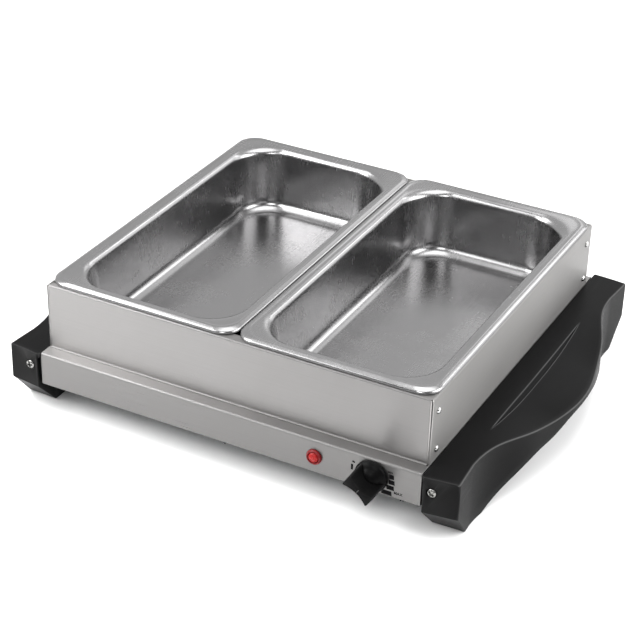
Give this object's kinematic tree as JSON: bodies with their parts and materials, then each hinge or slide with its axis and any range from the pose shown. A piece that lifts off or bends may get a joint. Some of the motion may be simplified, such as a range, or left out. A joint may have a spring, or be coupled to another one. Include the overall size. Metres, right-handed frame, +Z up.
{
  "type": "electric food warmer tray",
  "caption": "Electric food warmer tray: stainless base with a warm deck, lift-off frame, rectangular pans side by side, control knob, lamp and black carry handles.",
  "frame": {"origin": "on the table, under the centre of the whole object's extent; the base centre lies 9.3 mm behind it", "axes": "+Z up, the control panel faces -Y, the carry handles lie at -X and +X"},
  "size_m": [0.4846, 0.3969, 0.1227],
  "materials": {
    "base_stainless": "satin stainless sheet, fine brushing along the length",
    "frame_stainless": "satin stainless sheet, fine brushing along the length",
    "pan_stainless": "satin drawn stainless with a brighter rolled rim",
    "cover_grey": "plain grey coated sheet",
    "heat_plate_aluminium": "mill finish",
    "element_sheath": "dark oxidised steel tube",
    "bracket_black": "blackened steel",
    "bracket_zinc": "zinc-plated steel",
    "fastener_steel": "bright zinc-plated steel",
    "rivet_steel": "polished steel dome",
    "ceramic_white": "matt white ceramic",
    "phenolic_brown": "matt moulded phenolic",
    "knob_black": "satin black moulding",
    "handle_black": "satin black moulding with a fine grain",
    "gland_black": "matt black moulding",
    "lamp_lens_red": "glossy translucent red",
    "lamp_bezel_red": "glossy dark red"
  },
  "bodies": {
    "base": {"base_shell": "base_stainless", "bottom_cover": "cover_grey", "heat_plate": "heat_plate_aluminium", "heating_element": "element_sheath", "element_clamp_1": "bracket_zinc", "element_clamp_2": "bracket_zinc", "element_clamp_3": "bracket_zinc", "element_clamp_4": "bracket_zinc", "terminal_block": "ceramic_white", "thermostat_body": "phenolic_brown", "thermostat_nut": "fastener_steel", "lamp_bezel": "lamp_bezel_red", "lamp_lens": "lamp_lens_red", "lamp_holder": "ceramic_white", "cord_gland": "gland_black", "handle_left": "handle_black", "handle_right": "handle_black", "bracket_front_left": "bracket_black", "bracket_front_right": "bracket_black", "bracket_back_left": "bracket_black", "bracket_back_right": "bracket_black", "handle_screw_front_left": "fastener_steel", "handle_screw_front_right": "fastener_steel", "handle_screw_back_left": "fastener_steel", "handle_screw_back_right": "fastener_steel", "cover_screw_1": "fastener_steel", "cover_screw_2": "fastener_steel", "cover_screw_3": "fastener_steel", "cover_screw_4": "fastener_steel", "cover_screw_5": "fastener_steel", "cover_screw_6": "fastener_steel"},
    "knob": {"control_knob": "knob_black", "control_shaft": "fastener_steel"},
    "pan_frame": {"frame_front": "frame_stainless", "frame_back": "frame_stainless", "frame_left": "frame_stainless", "frame_right": "frame_stainless", "rivet_left_front_lower": "rivet_steel", "rivet_left_front_upper": "rivet_steel", "rivet_left_back_lower": "rivet_steel", "rivet_left_back_upper": "rivet_steel", "rivet_right_front_lower": "rivet_steel", "rivet_right_front_upper": "rivet_steel", "rivet_right_back_lower": "rivet_steel", "rivet_right_back_upper": "rivet_steel"},
    "left_pan": {"pan_left": "pan_stainless"},
    "right_pan": {"pan_right": "pan_stainless"}
  },
  "joints": [
    {"name": "knob_turn", "type": "hinge", "parent": "base", "child": "knob", "pos_m": [0.1354, -0.1739, 0.0432], "axis": [0, 1, 0], "range_deg": [0, 200]},
    {"name": "frame_lift", "type": "slide", "parent": "base", "child": "pan_frame", "axis": [0, 0, 1], "range_m": [0, 0.15]},
    {"name": "left_pan_lift", "type": "slide", "parent": "pan_frame", "child": "left_pan", "axis": [0, 0, 1], "range_m": [0, 0.12]},
    {"name": "right_pan_lift", "type": "slide", "parent": "pan_frame", "child": "right_pan", "axis": [0, 0, 1], "range_m": [0, 0.12]}
  ]
}
